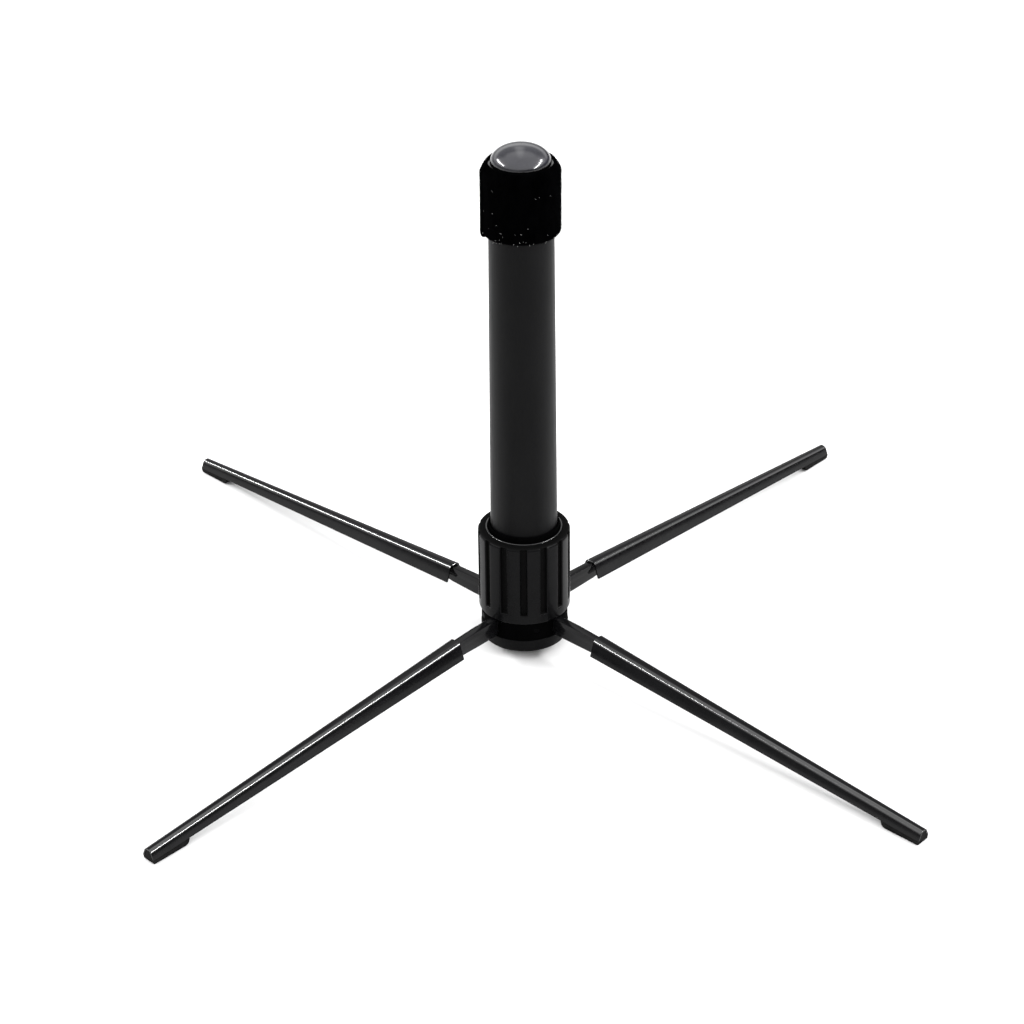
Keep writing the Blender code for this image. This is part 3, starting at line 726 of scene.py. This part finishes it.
def build_legs(materials):
    """Four legs: a folded sheet arm and a blade each."""
    for index in range(1, LEG_COUNT + 1):
        turn = math.radians(FIRST_LEG_DEG + 360.0 / LEG_COUNT * (index - 1))
        place = Matrix.Rotation(turn, 4, "Z")
        verts, faces = loft([
            arm_ring(ARM_ROOT_RADIUS, ARM_END_EDGE), arm_ring(ARM_ROOT_RADIUS + ARM_END_EDGE, 0.0),
            arm_ring(TIP_RADIUS - ARM_END_EDGE, 0.0), arm_ring(TIP_RADIUS, ARM_END_EDGE)])
        arm = piece(f"arm_{index}", verts, faces, materials["painted_steel"], f"leg_{index}",
                    "painted_steel", [f"leg_arm_{index}"], sharp_deg=30.0, place=place)
        arm.data.materials.append(materials["polished_bend"])
        for face in arm.data.polygons:
            if BEND_NORMAL_Z[0] < face.normal.z < BEND_NORMAL_Z[1]:
                face.material_index = 1
        build_blade(f"blade_{index}", f"leg_{index}", f"leg_blade_{index}", place,
                    materials["painted_steel"])


def overlap(angle):
    """1 where the velvet's outer end lies over its inner end, 0 elsewhere, eased at the far side."""
    back = (SEAM_DEG - math.degrees(angle)) % 360.0
    return ease(-0.01, 1.2, back) * (1.0 - ease(OVERLAP_DEG - 7.0, OVERLAP_DEG, back))


def band_point(angle, radius, height):
    """A point of the velvet, with its overlap and slight unevenness."""
    cover = overlap(angle)
    outer = ease(BAND_INNER_RADIUS + 0.4 * MM, BAND_RADIUS - 0.8 * MM, radius)
    low = 1.0 - ease(BAND_BOTTOM, BAND_BOTTOM + 9.0 * MM, height)
    waves = 0.07 * math.sin(3 * angle + 0.7) * math.sin(height / (4.1 * MM))
    waves += 0.05 * math.sin(5 * angle + height / (3.3 * MM))
    radius += outer * (OVERLAP_THICKNESS * cover + (0.12 * cover * low + waves) * MM)
    height -= low * (0.75 * cover + 0.10 * math.sin(2 * angle + 1.1)) * MM
    return Vector((radius * math.cos(angle), radius * math.sin(angle), height))


def build_lint(materials, chance):
    """A few pale fibres caught on the velvet, most of them along its lower hem."""
    verts = []
    faces = []
    for index in range(LINT_FIBRES):
        low = index % 3 > 0
        height = BAND_BOTTOM + (chance.uniform(0.1, 1.6) if low else chance.uniform(2.0, 20.5)) * MM
        angle = chance.uniform(0.0, 2 * math.pi)
        middle = band_point(angle, BAND_RADIUS - PILE_MARGIN + chance.uniform(0.15, 0.4) * MM, height)
        out_way = Vector((math.cos(angle), math.sin(angle), 0.0))
        round_way = Vector((-math.sin(angle), math.cos(angle), 0.0))
        tilt = chance.uniform(0.0, math.pi)
        along = (round_way * math.cos(tilt) + Vector((0.0, 0.0, math.sin(tilt)))) * 0.5
        across = out_way.cross(along).normalized() * 0.035 * MM
        length = (0.22 + 0.5 * chance.random() ** 3) * MM
        rings = []
        for share in (-1.0, -0.4, 0.3, 1.0):
            bow = out_way * 0.05 * MM * (1.0 - share * share)
            centre = middle + along * length * share + bow
            rings.append([
                tuple(centre + across), tuple(centre + out_way * 0.03 * MM), tuple(centre - across)])
        part_verts, part_faces = loft(rings)
        faces += [tuple(corner + len(verts) for corner in face) for face in part_faces]
        verts += part_verts
    piece("velvet_lint", verts, faces, materials["lint"], "stem", "velvet", sharp_deg=180.0)


def build_velvet(materials):
    """The velvet band with its glued overlap, and the pile that stands on it."""
    skin = BAND_RADIUS - PILE_MARGIN
    shoulder = rounded([
        (BAND_INNER_RADIUS + 0.02 * MM, BAND_TOP + 0.25 * MM), (10.7 * MM, BAND_TOP + 0.2 * MM, 0.3 * MM),
        (skin - 0.1 * MM, BAND_TOP - BAND_SHOULDER - 0.2 * MM, 0.5 * MM),
        (skin, BAND_TOP - BAND_SHOULDER - 1.0 * MM)], 0.3 * MM, closed=False)
    levels = [BAND_TOP - BAND_SHOULDER - 1.0 * MM - 1.85 * MM * row for row in range(1, 11)]
    hem = arc((skin - 0.9 * MM, BAND_BOTTOM + 0.9 * MM), (0.9 * MM,) * 2, 0, -90, 6)
    outer = shoulder + [(skin, level) for level in levels] + hem
    outline = outer + [
        (10.6 * MM, BAND_BOTTOM), (10.6 * MM, BAND_BOTTOM + 2.0 * MM), (10.35 * MM, BAND_TOP - 6.0 * MM),
        (BAND_INNER_RADIUS, BAND_TOP - 0.3 * MM), (BAND_INNER_RADIUS, BAND_TOP + 0.1 * MM)]
    steps = 360
    verts = []
    for column in range(steps):
        angle = 2 * math.pi * column / steps
        verts += [tuple(band_point(angle, radius, height)) for radius, height in outline]
    band = piece("velvet_band", verts, round_faces(len(outline), steps), materials["velvet"],
                 "stem", "velvet", ["felt_band"], sharp_deg=70.0)

    chance = random.Random(7)
    lengths = [math.dist(first, second) for first, second in zip(outer, outer[1:])]
    verts = []
    faces = []
    for _ in range(PILE_STRANDS):
        along = chance.uniform(0.0, sum(lengths))
        row = 0
        while along > lengths[row] and row < len(lengths) - 1:
            along -= lengths[row]
            row += 1
        share = along / lengths[row]
        radius = outer[row][0] + (outer[row + 1][0] - outer[row][0]) * share
        height = outer[row][1] + (outer[row + 1][1] - outer[row][1]) * share
        angle = chance.uniform(0.0, 2 * math.pi)
        root = band_point(angle, radius, height)
        round_way = Vector((-math.sin(angle), math.cos(angle), 0.0))
        slope = Vector((outer[row + 1][0] - outer[row][0], outer[row + 1][1] - outer[row][1]))
        slope.normalize()
        outward = Vector((-slope.y * math.cos(angle), -slope.y * math.sin(angle), slope.x))
        droop = -0.25 * (1.0 - ease(BAND_TOP - 2.5 * MM, BAND_TOP, height))
        lean = round_way * chance.gauss(0.0, 0.45) + Vector((0, 0, chance.gauss(droop, 0.4)))
        tip = root + (outward + lean).normalized() * (0.28 + 0.75 * chance.random() ** 3.0) * MM
        width = round_way * 0.04 * MM
        start = len(verts)
        verts += [tuple(root - width - outward * 0.05 * MM), tuple(root + width), tuple(tip)]
        faces.append((start, start + 1, start + 2))
    piece("velvet_pile", verts, faces, materials["velvet"], "stem", "velvet", sharp_deg=180.0)
    build_lint(materials, chance)


def dress_nodes(materials):
    """Give the CAD nodes that still show their materials, and eased edges where they catch light."""
    for item in frame["record"]["subparts"]:
        node = NODES[item["node"]]
        if not node.data.materials:
            node.data.materials.append(None)
        for index in range(len(node.data.materials)):
            node.data.materials[index] = materials[item["material_slot"]]
    for name, width in (("hub_core", 0.12), *((f"foot_pad_{i}", 0.2) for i in range(1, LEG_COUNT + 1))):
        weld = NODES[name].modifiers.new("weld", "WELD")
        weld.merge_threshold = 0.00001
        bevel = NODES[name].modifiers.new("edges", "BEVEL")
        bevel.width = width * MM
        bevel.segments = 2
        bevel.limit_method = "ANGLE"
        bevel.angle_limit = math.radians(40.0)
        bevel.harden_normals = False


# Camera, light and floor

def make_camera():
    """The camera at the photograph's viewing angle."""
    side = math.radians(CAMERA_SIDE_DEG)
    heading = math.radians(CAMERA_HEADING_DEG)
    pitch = math.radians(CAMERA_PITCH_DEG)
    roll = math.radians(CAMERA_ROLL_DEG)
    forward = Vector((
        math.sin(heading) * math.cos(pitch), math.cos(heading) * math.cos(pitch), -math.sin(pitch)))
    level = forward.cross(Vector((0, 0, 1))).normalized()
    upright = level.cross(forward)
    right = level * math.cos(roll) + upright * math.sin(roll)
    up = upright * math.cos(roll) - level * math.sin(roll)
    data = bpy.data.cameras.new("camera")
    data.lens = LENS_MM
    data.sensor_width = 36.0
    data.clip_start = 0.01
    data.clip_end = 100.0
    camera = bpy.data.objects.new("camera", data)
    bpy.context.scene.collection.objects.link(camera)
    basis = Matrix((right, up, -forward)).transposed().to_4x4()
    place = Vector((-CAMERA_REACH * math.sin(side), -CAMERA_REACH * math.cos(side), CAMERA_HEIGHT))
    camera.matrix_world = Matrix.Translation(place) @ basis
    bpy.context.scene.camera = camera


def area_light(name, target, place, along, size, watts):
    """A rectangular softbox that faces a target."""
    data = bpy.data.lights.new(name, "AREA")
    data.shape = "RECTANGLE"
    data.size, data.size_y = size
    data.energy = watts
    lamp = bpy.data.objects.new(name, data)
    back = (Vector(place) - Vector(target)).normalized()
    side = Vector(along)
    side = (side - back * side.dot(back)).normalized()
    lamp.matrix_world = (
        Matrix.Translation(place) @ Matrix((side, back.cross(side), back)).transposed().to_4x4())
    bpy.context.scene.collection.objects.link(lamp)
    return lamp


def make_surround():
    """A tent of light: bright overhead, dim half way up behind, and dark low on the right.

    A low window behind and a soft column over it give the cap and the leg tops their reflections.
    """
    world = bpy.data.worlds.new("surround")
    bpy.context.scene.world = world
    world.use_nodes = True
    tree = world.node_tree
    background = tree.nodes["Background"]
    where = tree.nodes.new("ShaderNodeTexCoord")
    split = tree.nodes.new("ShaderNodeSeparateXYZ")
    tree.links.new(where.outputs["Generated"], split.inputs["Vector"])

    def step(axis, start, end, low, high):
        """A smooth step in one axis of the direction."""
        ramp = tree.nodes.new("ShaderNodeMapRange")
        ramp.interpolation_type = "SMOOTHSTEP"
        for socket, value in (
                ("From Min", start), ("From Max", end), ("To Min", low), ("To Max", high)):
            ramp.inputs[socket].default_value = value
        tree.links.new(split.outputs[axis], ramp.inputs["Value"])
        return ramp.outputs["Result"]

    def combine(operation, first, second):
        """Arithmetic on two values."""
        node = tree.nodes.new("ShaderNodeMath")
        node.operation = operation
        tree.links.new(first, node.inputs[0])
        tree.links.new(second, node.inputs[1])
        return node.outputs[0]

    above = step("Z", 0.20, 0.36, 0.0, 1.5)
    behind = combine("MAXIMUM", step("Y", 0.25, 0.60, 1.0, 0.30), step("Z", 0.62, 0.85, 0.0, 1.0))
    below = combine("MULTIPLY", step("Z", 0.20, 0.36, 1.0, 0.0), step("X", -0.3, 0.5, 0.45, 0.02))
    window = combine("MULTIPLY", step("Z", 0.14, 0.24, 0.0, 1.0), step("Z", 0.36, 0.46, 0.9, 0.0))
    window = combine("MULTIPLY", window, step("Y", 0.35, 0.7, 0.0, 1.0))
    column = combine("MULTIPLY", step("X", 0.03, 0.13, 1.0, 0.0), step("X", -0.13, -0.03, 0.0, 1.0))
    column = combine("MULTIPLY", column, step("Y", 0.05, 0.5, 0.0, 0.9))
    window = combine("ADD", window, combine("MULTIPLY", column, step("Z", 0.40, 0.60, 0.0, 1.0)))
    light = combine("ADD", combine("MULTIPLY", above, behind), below)
    tree.links.new(combine("ADD", light, window), background.inputs["Strength"])
    background.inputs["Color"].default_value = (1.0, 1.0, 1.0, 1.0)


def make_floor():
    """A pale plain floor under the feet."""
    bpy.ops.mesh.primitive_plane_add(size=FLOOR_SIZE, location=(0.0, 0.0, -FLOOR_DROP))
    floor = bpy.context.object
    floor.name = "floor"
    n = Nodes("pale_floor", {"Specular IOR Level": 0.1, "Roughness": 0.9})
    n.link(n.ramp(n.noise(0.4), [(0.3, 0.72), (0.7, 0.75)]), "Base Color")
    floor.data.materials.append(n.material)


def make_studio():
    """The surround, the softboxes and the floor."""
    make_surround()
    top_box = area_light("top_box", (0.0, 0.1, 0.0), *TOP_BOX)
    top_box.visible_glossy = False
    area_light("left_strip", (0.0, 0.0, 0.1), *LEFT_STRIP)
    area_light("right_strip", (0.0, 0.0, 0.1), *RIGHT_STRIP)
    make_floor()


def main():
    """Build the looks of the whole stand."""
    bpy.context.scene.view_settings.view_transform = "Standard"
    make_camera()
    materials = make_materials()
    dress_nodes(materials)
    build_turned(materials)
    build_grip(materials)
    build_boss_thread(materials)
    build_legs(materials)
    build_velvet(materials)
    make_studio()


main()
